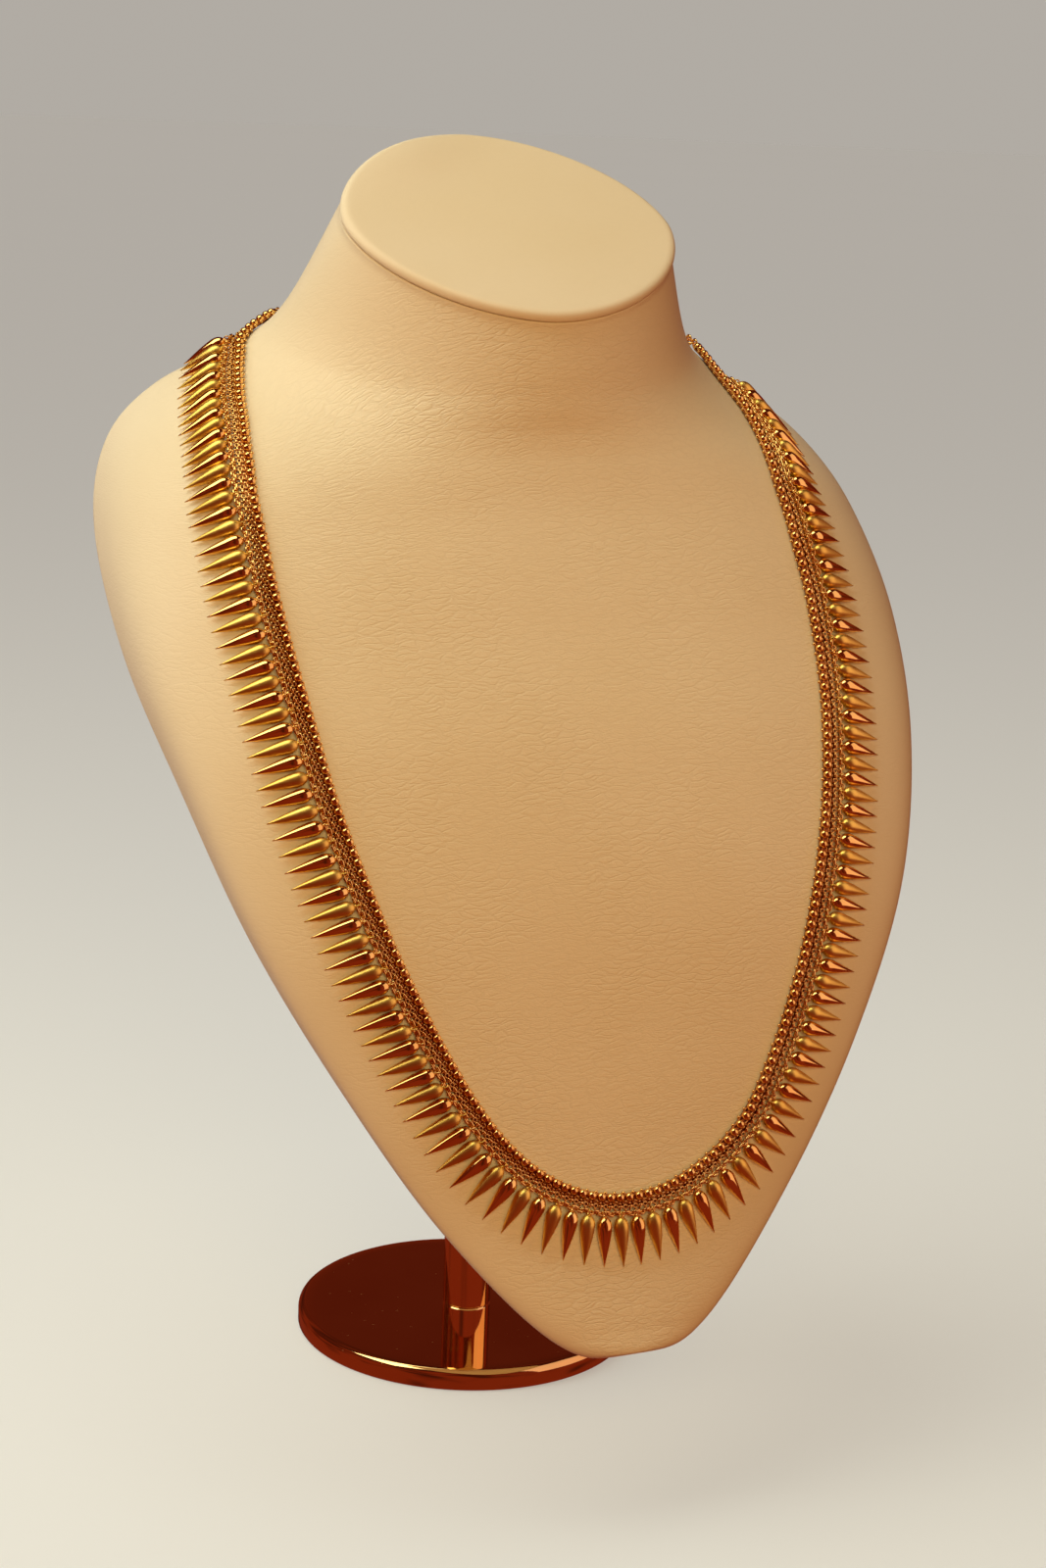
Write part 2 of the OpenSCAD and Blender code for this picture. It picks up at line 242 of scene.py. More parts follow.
def tip_point(u, a):
    """Point of the form's rounded lower end: u is 0 at its lowest point and 1 at
    section 1. Middle and width are cubics in u; the thickness grows like a circle's."""
    u, a = np.broadcast_arrays(np.asarray(u, float), np.asarray(a, float))
    low, first = SECTIONS[0, 1:], SECTIONS[1, 1:]
    row = np.broadcast_to(first, (*u.shape, len(first))).copy()
    row[..., SEC_Y] = low[SEC_Y] + polyval(u, TIP_Y)
    row[..., SEC_Z] = low[SEC_Z] + polyval(u, TIP_Z)
    row[..., SEC_WIDTH] = polyval(u, TIP_WIDTH)
    for thickness in (SEC_FRONT, SEC_BACK):
        row[..., thickness] *= np.sqrt(u * (2 - u))
    return section_point(row, a)


def along_sections(k, a, step=0.01):
    """How far the leather's point moves for one section number: the difference of the
    points a step ahead and a step behind, by two steps."""
    return (form_point(k + step, a) - form_point(k - step, a)) / (2 * step)


def round_section(k, a, step=0.5):
    """How far the leather's point moves for one degree, worked out the same way."""
    return (form_point(k, a + step) - form_point(k, a - step)) / (2 * step)


def form_normal(k, a):
    """Way straight out of the leather, at right angles to both of those."""
    return unit(np.cross(along_sections(k, a), round_section(k, a)))


def row_point(bead):
    """Point of the bead row on the leather at a bead number."""
    spot = curve_at(ROUTE, np.clip(bead, ROUTE[0, 0], ROUTE[-1, 0]))
    return form_point(spot[..., 0], spot[..., 1])


# Lengths along the row from its bead 0, and the length from there to the nape
ROW_BEADS = np.arange(ROUTE[0, 0], ROUTE[-1, 0] + 0.5)
ROW_STEPS = np.linalg.norm(np.diff(row_point(ROW_BEADS), axis=0), axis=1)
ROW_LENGTHS = np.concatenate([[0], np.cumsum(ROW_STEPS)])
ROW_LENGTHS -= ROW_LENGTHS[int(-ROUTE[0, 0])]
NAPE = {LEFT: ROW_LENGTHS[-1], RIGHT: -ROW_LENGTHS[0]}


class Strip:
    """Places along the bead row. They carry the section number and angle of each, and
    how both grow for a millimetre outwards, or for one leant from that way by degrees."""

    def __init__(self, s, lean=0.0):
        bead = np.interp(s, ROW_LENGTHS, ROW_BEADS)
        spot = curve_at(ROUTE, bead)
        self.k, self.a = spot[..., 0], spot[..., 1]
        ahead, behind = row_point(bead + DIRECTION_REACH), row_point(bead - DIRECTION_REACH)
        along = unit(ahead - behind)
        lean = np.radians(np.broadcast_to(lean, self.k.shape))[..., None]
        across = unit(np.cross(form_normal(self.k, self.a), along))
        out = np.cos(lean) * across + np.sin(lean) * along
        dk, da = along_sections(self.k, self.a), round_section(self.k, self.a)
        kk, ka, aa = dot(dk, dk), dot(dk, da), dot(da, da)
        det = kk * aa - ka * ka
        self.k_out = (aa * dot(out, dk) - ka * dot(out, da)) / det
        self.a_out = (kk * dot(out, da) - ka * dot(out, dk)) / det

    def over(self, out, height):
        """Points a distance out from the bead row and a height above the leather."""
        rough = form_point(self.k + out * self.k_out, self.a + out * self.a_out)
        reach = np.linalg.norm(rough - form_point(self.k, self.a), axis=-1)
        step = out * np.abs(out) / np.maximum(reach, 1e-9)
        k, a = self.k + step * self.k_out, self.a + step * self.a_out
        return form_point(k, a) + np.asarray(height)[..., None] * form_normal(k, a)


def places_on_row(s, out, height):
    """Points over the row at lengths s, with their axes along the row, out and up."""
    spot = Strip(s)
    centre = spot.over(out, height)
    along = unit(Strip(s + 0.5).over(out, height) - Strip(s - 0.5).over(out, height))
    up = unit(spot.over(out, height + 1.0) - centre)
    outward = unit(np.cross(up, along))
    return centre, along, outward, np.cross(along, outward)


# Shapes


class Shape:
    """Points in millimetres with their four-sided and three-sided faces."""

    def __init__(self, points, quads=(), tris=()):
        self.points = np.asarray(points, float).reshape(-1, 3)
        self.quads = np.asarray(quads, int).reshape(-1, 4)
        self.tris = np.asarray(tris, int).reshape(-1, 3)

    def volume(self):
        """A sixth of the sum of the box products of every triangle's corners."""
        q = self.quads
        corners = np.concatenate([q[:, [0, 1, 2]], q[:, [0, 2, 3]], self.tris])
        p = self.points[corners]
        return dot(p[:, 0], np.cross(p[:, 1], p[:, 2])).sum() / 6

    def outward(self):
        """The same shape with its faces turned outwards."""
        if self.volume() < 0:
            return Shape(self.points, self.quads[:, ::-1], self.tris[:, ::-1])
        return self

    def moved(self, offset):
        return Shape(self.points + offset, self.quads, self.tris)


def join(shapes):
    """Several shapes as one, each shape's faces counted on from the last one's points."""
    starts = np.cumsum([0] + [len(s.points) for s in shapes])
    return Shape(
        np.concatenate([s.points for s in shapes]),
        np.concatenate([s.quads + n for s, n in zip(shapes, starts)]),
        np.concatenate([s.tris + n for s, n in zip(shapes, starts)]),
    )


def skin(rings, closed=False):
    """Skin over rings of points, an array of rings by points by three. Closed rings of
    rings make a loop; otherwise each end closes in a fan round its middle."""
    count, sides = rings.shape[:2]
    i = np.arange(count if closed else count - 1)[:, None]
    j = np.arange(sides)[None, :]
    nxt, side = (i + 1) % count, (j + 1) % sides
    quads = np.stack(
        np.broadcast_arrays(i * sides + j, nxt * sides + j, nxt * sides + side, i * sides + side),
        -1,
    ).reshape(-1, 4)
    points = rings.reshape(-1, 3)
    if closed:
        return Shape(points, quads)
    j = np.arange(sides)
    last = (count - 1) * sides
    first_pole, last_pole = len(points), len(points) + 1
    start = np.stack([np.full(sides, first_pole), j, (j + 1) % sides], -1)
    end = np.stack([np.full(sides, last_pole), last + (j + 1) % sides, last + j], -1)
    points = np.concatenate([points, [rings[0].mean(0)], [rings[-1].mean(0)]])
    return Shape(points, quads, np.concatenate([start, end]))


def turned(profile, sides):
    """Profile of radius and height turned about z; where the radius ends above zero the
    end is closed flat."""
    radius, height = np.asarray(profile, float).T
    a = np.linspace(0, 2 * np.pi, sides, endpoint=False)
    rings = np.stack(
        [
            radius[:, None] * np.cos(a),
            radius[:, None] * np.sin(a),
            np.broadcast_to(height[:, None], (len(radius), sides)),
        ],
        -1,
    )
    return skin(rings).outward()


def wire_loop(path, wire, sides):
    """Round wire along a closed path of points: at each point a circle across the
    path's direction, turned so that one axis lies towards the path's middle."""
    ahead = unit(np.roll(path, -1, 0) - np.roll(path, 1, 0))
    inward = path.mean(0) - path
    inward = unit(inward - dot(inward, ahead)[:, None] * ahead)
    side = np.cross(ahead, inward)
    b = np.linspace(0, 2 * np.pi, sides, endpoint=False)
    circle = np.cos(b)[:, None] * inward[:, None] + np.sin(b)[:, None] * side[:, None]
    return skin(path[:, None] + wire / 2 * circle, closed=True).outward()


def ring(radius, wire, steps, sides):
    """Ring of wire in the x-z plane, on a circle of so many steps."""
    a = np.linspace(0, 2 * np.pi, steps, endpoint=False)
    return wire_loop(radius * np.stack([np.cos(a), 0 * a, np.sin(a)], -1), wire, sides)


def ball(radius, around=10, along=6):
    """Ball of rings whose height is the cosine and radius the sine of the same angle,
    with its poles at the full radius."""
    t = np.linspace(0, np.pi, along + 1)[1:-1]
    shape = turned(np.stack([radius * np.sin(t), -radius * np.cos(t)], -1), around)
    shape.points[-2:] = [[0, 0, -radius], [0, 0, radius]]
    return shape


def repeat(shape, centre, x, y, z):
    """Copies of a shape at many places: its x, y and z laid along the places' axes."""
    p = shape.points
    points = centre[:, None] + sum(
        p[:, n, None] * axis[:, None] for n, axis in enumerate((x, y, z))
    )
    shift = np.arange(len(centre))[:, None, None] * len(p)
    return Shape(points, shape.quads + shift, shape.tris + shift)


# Materials


class Wire:
    """An output socket that can stand in sums: 1 - mask adds its Math node."""

    def __init__(self, tree, socket):
        self.tree, self.socket = tree, socket

    def _with(self, operation, *values):
        return self.tree.node("Math", {"operation": operation}, *values)

    def __add__(self, other):
        return self._with("ADD", self, other)

    def __radd__(self, other):
        return self._with("ADD", other, self)

    def __sub__(self, other):
        return self._with("SUBTRACT", self, other)

    def __rsub__(self, other):
        return self._with("SUBTRACT", other, self)

    def __mul__(self, other):
        return self._with("MULTIPLY", self, other)

    def __rmul__(self, other):
        return self._with("MULTIPLY", other, self)


class Tree:
    """A node tree: each method adds nodes and returns the output as a Wire."""

    def __init__(self, owner):
        owner.use_nodes = True
        self.nodes, self.links = owner.node_tree.nodes, owner.node_tree.links

    def feed(self, socket, value):
        """Links a wire to a socket, or sets the socket to a value."""
        if isinstance(value, Wire):
            self.links.new(value.socket, socket)
        else:
            socket.default_value = value

    def node(self, kind, settings, *values, out=0, **named):
        """Adds a node: first its settings, then its inputs by order or by name."""
        node = self.nodes.new("ShaderNode" + kind)
        for key, value in settings.items():
            setattr(node, key, value)
        named = {key.replace("_", " "): value for key, value in named.items()}
        for key, value in list(enumerate(values)) + list(named.items()):
            self.feed(node.inputs[key], value)
        return Wire(self, node.outputs[out])

    def split(self, vector):
        """A vector's three parts."""
        parts = self.node("SeparateXYZ", {}, vector)
        return [Wire(self, socket) for socket in parts.socket.node.outputs]

    def noise(self, vector, scale, detail=2.0, out=0):
        return self.node("TexNoise", {}, out=out, Vector=vector, Scale=scale, Detail=detail)

    def ramp(self, value, low, high):
        """Zero below low and one above high, with a smooth step between."""
        return self.node("MapRange", {"interpolation_type": "SMOOTHSTEP"}, value, low, high)

    def cells(self, vector, scale, edge):
        """Zero on the edges of cells, and one from the edge's width inwards."""
        settings = {"feature": "DISTANCE_TO_EDGE"}
        return self.ramp(self.node("TexVoronoi", settings, Vector=vector, Scale=scale), 0.0, edge)

    def mix(self, factor, first, second):
        """The first colour at factor 0 and the second at factor 1."""
        node = self.nodes.new("ShaderNodeMix")
        node.data_type = "RGBA"
        for n, value in ((0, factor), (6, first), (7, second)):
            self.feed(node.inputs[n], value)
        return Wire(self, node.outputs[2])


class Finish(Tree):
    """A material with its shader."""

    def __init__(self, name, **constants):
        self.material = bpy.data.materials.new(name)
        super().__init__(self.material)
        self.set(**constants)

    def set(self, **values):
        """Sets or links the shader's own sockets."""
        for socket, value in values.items():
            self.feed(self.nodes["Principled BSDF"].inputs[socket.replace("_", " ")], value)

    def coordinates(self, scale=(1, 1, 1)):
        """Object coordinates in metres, times a scale."""
        return self.node("Mapping", {}, self.node("TexCoord", {}, out="Object"), Scale=scale)

    def bump(self, height, distance):
        return self.node("Bump", {}, Height=height, Distance=distance)


def rgb(color):
    """A colour with its opacity."""
    return (*color, 1.0)


# Creases lean up towards the neck's front: x of the neck's middle and the heights
# between which the lean sets in, in metres, and its strength
FORM_MIDDLE = -0.009
NECK_HEIGHTS = (0.27, 0.32)
NECK_LEAN = 5.0


def leather_finish(name, color, shade, crease, fine):
    """Pale leather: fine creases, the edges of cells drawn out level, which lean up
    towards the neck's front, with painted shade darkening the crease lines; faint crossing
    scuffs, pores and a slow drift of tone. The piece's wrinkle attribute says how deep the
    creases are and how dark their painted shade."""
    finish = Finish(name, Specular_IOR_Level=0.3)
    place = finish.coordinates()
    x, y, z = finish.split(place)
    left = finish.node("Math", {"operation": "MINIMUM"}, x - FORM_MIDDLE, 0.0)
    level = z + left * left * finish.ramp(z, *NECK_HEIGHTS) * NECK_LEAN
    flow = finish.node("CombineXYZ", {}, x, y, level)
    drift = finish.noise(place, 130.0, out="Color")
    shift = finish.node("VectorMath", {"operation": "SCALE"}, drift, Scale=0.0035)
    wander = finish.node("VectorMath", {"operation": "ADD"}, flow, shift)
    drawn_out = finish.node("Mapping", {}, wander, Scale=(1.0, 1.0, 3.8))
    crossing = finish.node("Mapping", {}, wander, Scale=(2.6, 2.6, 1.0))
    small = finish.cells(drawn_out, 460.0, 0.22)
    large = finish.cells(drawn_out, 175.0, 0.16)
    scuff = finish.cells(crossing, 120.0, 0.05)
    here = finish.node("Attribute", {"attribute_name": "wrinkle"}, out="Fac")
    patch = finish.ramp(finish.noise(place, 42.0), 0.35, 0.6)
    pores = finish.noise(place, 2400.0)
    deep = large * (patch * 0.6 + 0.4)
    height = (small * 0.35 + deep * crease) * here + scuff * patch * 0.10 + pores * fine
    tone = finish.ramp(finish.noise(place, 9.0, 3.0), 0.3, 0.7)
    # Painted shade: the crease lines' colour is mixed towards a darker shade colour, and they
    # turn rougher
    painted_crease_shade = (1 - large) * here * 0.08 + (1 - small) * here * 0.05
    dark = tuple(c * 0.6 for c in shade)
    paint = finish.mix(tone, rgb(color), rgb(shade))
    finish.set(
        Base_Color=finish.mix(painted_crease_shade, paint, rgb(dark)),
        Roughness=0.5 + painted_crease_shade * 0.3 + (pores - 0.5) * 0.12,
        Normal=finish.bump(height, 0.0001),
    )
    return finish.material


def gold_finish(name, color, deep, roughness, grain):
    """Gold: metal with a slow drift of tone and a fine grain in its polish."""
    finish = Finish(name, Metallic=1.0)
    place = finish.coordinates()
    drift = finish.ramp(finish.noise(place, 90.0), 0.35, 0.65)
    fine = finish.noise(place, 5200.0)
    finish.set(
        Base_Color=finish.mix(drift, rgb(color), rgb(deep)),
        Roughness=roughness + (fine - 0.5) * grain,
        Normal=finish.bump(fine, 0.0000006),
    )
    return finish.material


def brass_finish(name, color, deep, roughness):
    """Polished brass: long faint scratches and a few dull specks of dust."""
    finish = Finish(name, Metallic=1.0)
    place = finish.coordinates()
    scratches = finish.noise(finish.coordinates((30.0, 900.0, 900.0)), 1.0, 3.0)
    specks = finish.node("TexVoronoi", {"feature": "F1"}, Vector=place, Scale=170.0)
    speck = 1 - finish.ramp(specks, 0.05, 0.11)
    drift = finish.ramp(finish.noise(place, 25.0, 3.0), 0.35, 0.7)
    finish.set(
        Base_Color=finish.mix(drift, rgb(color), rgb(deep)),
        Roughness=roughness + speck * 0.3 + drift * 0.05,
        Normal=finish.bump(scratches, 0.000002),
    )
    return finish.material


# Pieces


def add_piece(name, shape, material, slot, *nodes, sharp=None, wrinkle=None):
    """Writes a shape to a mesh in metres, and hands the piece to the frame."""
    shape = shape.moved(POST_FOOT)
    mesh = bpy.data.meshes.new(name)
    mesh.from_pydata(shape.points * MM, [], shape.quads.tolist() + shape.tris.tolist())
    mesh.shade_smooth()
    if sharp is not None:
        mesh.set_sharp_from_angle(angle=math.radians(sharp))
    mesh.materials.append(material)
    if wrinkle is not None:
        values = np.resize(wrinkle, len(mesh.vertices)).astype(np.float32)
        mesh.attributes.new("wrinkle", "FLOAT", "POINT").data.foreach_set("value", values)
    piece = bpy.data.objects.new(name, mesh)
    bpy.context.scene.collection.objects.link(piece)
    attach(piece, "root")
    if nodes:
        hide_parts(*nodes)


def round_corner(centre, radius, start, stop, steps):
    """Points of an arc in a profile, from one angle to another in degrees."""
    a = np.radians(np.linspace(start, stop, steps))
    return [
        (centre[0] + radius * math.cos(t), centre[1] + radius * math.sin(t)) for t in a
    ]


def cap_frame():
    """The top section: its widest line's middle, the way up and the way to the front."""
    row = SECTIONS[-1, 1:]
    tilt = math.radians(-row[SEC_TILT])
    up = np.array([0, -math.sin(tilt), math.cos(tilt)])
    front = np.array([0, -math.cos(tilt), -math.sin(tilt)])
    return row, np.array([0, row[SEC_Y], row[SEC_Z]]), up, front


def hump(value, middle, spread, power=2):
    """One at the middle, and next to nothing two spreads away: the exponential of minus
    the distance, counted in spreads and raised to the power."""
    return np.exp(-(((value - middle) / spread) ** power))


# The leather's lip at the neck: share of the top section's width, height above it
NECK_LIP = [
    (1.001, 0.35), (0.998, 0.62), (0.990, 0.75), (0.980, 0.6), (0.972, 0.3), (0.96, -0.3),
    (0.5, -0.3),
]


def form_shape(rows, columns):
    """Leather of the bust: section numbers down one side of a grid, closer towards the
    lower end, and angles along the other, with a thin lip at the neck that turns in
    under the cap. The second result is how wrinkled each point is: most on the neck's
    front, least on the shoulders."""
    share = np.linspace(0, 1, rows)
    k = TOP_SECTION * (0.35 * share**2 + 0.65 * share)
    a = np.linspace(0, 360, columns, endpoint=False)
    rings = form_point(k[:, None], a[None, :])
    low = k < 1
    rings[low] = tip_point(np.maximum(k[low], 0.02)[:, None], a[None, :])
    _, middle, up, _ = cap_frame()
    lip = [middle + (rings[-1] - middle) * s + h * up for s, h in NECK_LIP]
    neck = hump(k, 10.4, 1.5)[:, None] * hump(a, 108, 34)
    tip = hump(k, 0.8, 2.0)[:, None]
    front = hump(a, 95, 50, 4)
    wrinkle = 0.25 + 0.40 * front + 0.60 * neck + 0.35 * tip * front
    wrinkle = np.concatenate([wrinkle, np.full((len(lip), columns), 0.1)])
    return skin(np.concatenate([rings, lip])).outward(), wrinkle.ravel()


# The cap's rolled rim: share of the top section's width, height above the cap's seat
CAP_RIM = [
    (0.95, 0.0), (0.965, 0.15), (0.974, 0.5), (0.982, 0.75), (0.992, 0.9), (1.0, 1.1),
    (1.006, 1.5), (1.009, 2.05), (1.007, 2.65), (1.001, 3.2), (0.992, 3.6), (0.981, 3.85),
    (0.967, 4.0),
]

# The cap's raised soft corner: height, angle with its spread, share of the width with
# its spread, and the height above which it lifts the leather
PUFF_HEIGHT = 1.3
PUFF_ANGLE, PUFF_ANGLE_SPREAD = 236, 26
PUFF_SHARE, PUFF_SHARE_SPREAD = 0.92, 0.25
PUFF_FROM = 1.8


def neck_cap_shape(columns):
    """Padded disc on the neck: rings of the top section's oval, each with its share of
    the width and its height, rolled over at the rim and raised at one soft corner."""
    row, middle, up, front = cap_frame()
    top = [(s, CAP_T * (1.0 + 0.05 * (1 - s * s))) for s in np.linspace(0.95, 0.02, 30)]
    levels = np.array([*CAP_RIM, *top])
    a = np.linspace(0, 360, columns, endpoint=False)
    power = 2 / row[SEC_SQUARE]
    wide = row[SEC_WIDTH] * signed_power(np.cos(np.radians(a)), power)
    deep = row[SEC_FRONT] * signed_power(np.sin(np.radians(a)), power)
    share, height = levels[:, 0][:, None, None], levels[:, 1][:, None, None]
    away = (a - PUFF_ANGLE + 180) % 360 - 180
    puff = PUFF_HEIGHT * hump(away, 0, PUFF_ANGLE_SPREAD)
    puff = puff * hump(share[..., 0], PUFF_SHARE, PUFF_SHARE_SPREAD)
    rings = (
        middle
        + (SEAT_GAP + height + puff[..., None] * (height > PUFF_FROM)) * up
        + share * (wide[:, None] * np.array([1.0, 0, 0]) + deep[:, None] * front)
    )
    return skin(rings).outward()


def base_shape():
    """Round plate: a profile with a small lower bevel and a wide round at the top."""
    radius, rounding = BASE_D / 2, 2.5
    profile = [(radius - 1.2, 0.0), (radius - 0.35, 0.12), (radius, 0.6)]
    profile += round_corner((radius - rounding, BASE_T - rounding), rounding, 0, 90, 12)
    profile += [(r, BASE_T) for r in (50, 40, 25, 10)]
    return turned([(5.0, 0.0), (40.0, 0.0), *profile], 192)


def post_shape():
    """Straight tube with a fine groove where it turns in its foot."""
    r, edge, depth = POST_D / 2, 0.25, 0.35
    below, above = POST_JOINT_H - 0.35, POST_JOINT_H + 0.75
    profile = [(r, -POST_SOCKET), (r, below)]
    profile += round_corner((r - edge, below), edge, 0, 60, 4)
    profile += [(r - depth, POST_JOINT_H + 0.1), (r - depth, POST_JOINT_H + 0.3)]
    profile += round_corner((r - edge, above), edge, -60, 0, 4)
    profile += [(r, height) for height in (100.0, 200.0, POST_H)]
    return turned(profile, 96)


def bead_places(side, shift=0.0):
    """Lengths of one half's beads along the row, or of the places between two of them.
    The middle bead is on the right."""
    first = 1 if side == LEFT and not shift else 0
    numbers = np.arange(first, BEAD_COUNT // 2 + 1 - bool(shift))
    return side * (numbers + shift) * BEAD_PITCH


def bead_row_shape(side, bead_d):
    """Balls at an even pitch along the row, their poles out and in."""
    s = bead_places(side)
    centre, along, outward, up = places_on_row(s, 0.0, SKIN_GAP + BEAD_HEIGHT)
    return repeat(ball(bead_d / 2), centre, along, up, outward)


def studs_shape(side):
    """Small studs low on the band's inner wall, between each two beads."""
    out, height, radius = -1.12, 0.62, 0.55
    s = bead_places(side, 0.5)
    centre, along, outward, up = places_on_row(s, out, SKIN_GAP + height)
    return repeat(ball(radius, 8, 5), centre, along, up, outward)


# Outline of the band's ground, round from its inner wall: distance out, height
GROUND = [
    (-0.95, 0.25), (-0.6, 0.05), (1.5, 0.0), (3.15, 0.05), (3.3, 0.5), (3.2, 1.05),
    (2.4, 1.2), (1.4, 1.15), (0.7, 1.25), (0.0, 1.35), (-0.6, 1.3), (-0.95, 1.05),
    (-1.05, 0.7),
]


def ground_shape(side):
    """The band's ground: its low outline carried along the row."""
    s = side * np.linspace(SEAT_GAP / 2, BAND_HALF, 260)
    spot = Strip(s)
    rings = np.stack([spot.over(o, np.full(len(s), h + SKIN_GAP)) for o, h in GROUND], 1)
    return skin(rings).outward()


def oval_link(half_length, half_width, wire):
    """Link of wire on a squared oval path, half its length along x and half its width
    along y."""
    steps, sides, power = 12, 5, 0.75
    a = np.linspace(0, 2 * np.pi, steps, endpoint=False) + np.pi / steps
    along = half_length * signed_power(np.cos(a), power)
    across = half_width * signed_power(np.sin(a), power)
    return wire_loop(np.stack([along, across, 0 * a], -1), wire, sides)


def leaned(axes, angle):
    """Places turned about the line along the row by an angle in degrees."""
    centre, along, outward, up = axes
    c, s = math.cos(math.radians(angle)), math.sin(math.radians(angle))
    return centre, along, c * outward + s * up, c * up - s * outward


def bar(half_length, radius, bend=0.0):
    """Short bar along x whose ends draw in: its middle line is the parabola
    bend * (1 - t * t) for t from -1 to 1."""
    steps, sides = 6, 6
    t = np.linspace(-1, 1, steps)[:, None]
    swell = radius * (1 - 0.42 * t**4)
    b = np.linspace(0, 2 * np.pi, sides, endpoint=False)[None, :]
    rings = np.stack(
        np.broadcast_arrays(
            half_length * t, bend * (1 - t * t) + swell * np.cos(b), swell * np.sin(b)
        ),
        -1,
    )
    return skin(rings).outward()


def crossed(axes, angle):
    """Places turned about the way up by an angle in degrees."""
    centre, along, outward, up = axes
    c, s = math.cos(math.radians(angle)), math.sin(math.radians(angle))
    return centre, c * along + s * outward, c * outward - s * along, up


def mesh_shape(side):
    """Woven links beside the beads: small rings against the beads, then flat rings and
    bright bars in turn, and crossed ties out to the outer chain."""
    between, beside = bead_places(side, 0.5), bead_places(side)
    ring_flat = oval_link(0.62, 0.55, 0.46)
    ring_small = oval_link(0.66, 0.5, 0.42)
    parts = []
    for s, out, height, lean, cross, link in (
        (between, 1.50, 1.42, -38, 0, ring_small),
        (beside, 1.78, 1.20, 20, 0, bar(0.5, 0.3)),
        (between, 2.68, 1.66, 6, 0, ring_flat),
        (beside, 2.66, 1.84, 0, 12, bar(0.78, 0.44)),
        (beside, 3.45, 1.50, 0, 58, bar(0.62, 0.27)),
        (between, 3.45, 1.50, 0, -58, bar(0.62, 0.27)),
    ):
        axes = crossed(leaned(places_on_row(s, out, SKIN_GAP + height), lean), cross)
        parts.append(repeat(link, *axes))
    return join(parts)


def outer_chain_shape(side):
    """Flat twisted chain that carries the buds: a core with two rows of short bars,
    half a link apart, and a tie from each bar to the next one across."""
    reach, steps = (BUD_COUNT / 2 + 0.3) * BUD_PITCH, 220
    s = side * (np.arange(int(reach / CHAIN_PITCH)) + 0.5) * CHAIN_PITCH
    half, quarter = side * CHAIN_PITCH / 2, side * CHAIN_PITCH / 4
    tie = bar(0.72, 0.27)
    parts = []
    for at, out, height, cross, piece in (
        (s, 4.12, 2.50, -4, bar(1.12, 0.42, -0.05)),
        (s - half, 5.02, 2.40, 3, bar(0.95, 0.38, 0.16)),
        (s - quarter, 4.56, 2.12, 62, tie),
        (s + quarter, 4.56, 2.12, -62, tie),
    ):
        axes = crossed(places_on_row(at, out, SKIN_GAP + height), cross * side)
        parts.append(repeat(piece, *axes))
    core = Strip(side * np.linspace(SEAT_GAP / 2, reach, steps))
    rings = [
        core.over(
            CHAIN_OUT + 0.55 * math.cos(b), np.full(steps, SKIN_GAP + 1.55 + 0.5 * math.sin(b))
        )
        for b in np.linspace(0, 2 * np.pi, 6, endpoint=False)
    ]
    return join([*parts, skin(np.stack(rings, 1)).outward()])


def bud_profile(length, widest, taper, radius, tip, steps):
    """Half outline of a bud: an elliptic head up to its widest place, then a taper that
    closes slowly to the point."""
    t = np.linspace(0, 1, steps) ** 1.6
    head = np.sqrt(np.maximum(1 - (1 - t / widest) ** 2, 0))
    tail = 1 - np.clip((t - widest) / (1 - widest), 0, 1) ** taper
    swell = np.where(t < widest, head, tail)
    return np.stack([np.maximum(radius * swell, tip), length * t], -1)


def bud_axes(first):
    """Places and axes of every second bud: z to its point and x along the chain."""
    n = np.arange(first, BUD_COUNT, 2)
    s = (n + 0.5 - BUD_COUNT / 2) * BUD_PITCH
    lean = np.sign(s) * np.interp(np.abs(s), BUD_LEAN[:, 0], BUD_LEAN[:, 1])
    height = np.full(len(s), SKIN_GAP + EYE_HEIGHT)
    eye = Strip(s).over(CHAIN_OUT, height)
    beside = Strip(s + 1).over(CHAIN_OUT, height)
    point = Strip(s, lean).over(CHAIN_OUT + EYE_R + BUD_LENGTH, np.full(len(s), TIP_HEIGHT))
    z = unit(point - eye)
    y = unit(np.cross(z, beside - eye))
    return eye, np.cross(y, z), y, z


def buds_shape(first):
    """Buds with a wire eye over the chain and a small knob where the eye joins."""
    profile = bud_profile(
        BUD_LENGTH + EYE_R - BUD_START,
        widest=0.21, taper=1.38, radius=BUD_RADIUS, tip=0.12, steps=22,
    )
    body = turned(profile, 20).moved([0, 0, BUD_START])
    eye = ring(EYE_R - 0.1, EYE_WIRE, 12, 6)
    eye.points = eye.points[:, [1, 0, 2]]
    knob = ball(0.6, 8, 5).moved([0, 0, BUD_START + 0.05])
    return repeat(join([body, eye.outward(), knob]), *bud_axes(first))


def link_axes(s, turn):
    """Places of back chain rings, each leant to one side by 45 degrees."""
    height = np.full(len(s), SKIN_GAP + CLASP_D / 2 + SEAT_GAP)
    spot = Strip(s)
    ahead, behind = (Strip(s + step).over(END_OUT, height) for step in (0.5, -0.5))
    z = unit(ahead - behind)
    y = unit(np.cross(z, form_normal(spot.k, spot.a)))
    x = np.cross(y, z)
    lean = np.radians(45) * turn[:, None]
    e = np.cos(lean) * x + np.sin(lean) * y
    return spot.over(END_OUT, height), e, np.cross(z, e), z


def ring_places(side):
    """Lengths of the back chain's rings from the band's end to the clasp's eye, and the
    side that each leans to."""
    first = END_BALL_AT + END_BALL_D / 2 + LINK_R - LINK_WIRE / 2
    last = NAPE[side] - (CLASP_LENGTH / 2 + LINK_R - LINK_WIRE / 2)
    pitch = 2 * LINK_R - LINK_WIRE - 4 * RING_GAP
    steps = math.ceil((last - first) / pitch)
    turn = np.where(np.arange(steps + 1) % 2 == 0, 1, -1)
    return side * (first + (last - first) * np.arange(steps + 1) / steps), turn


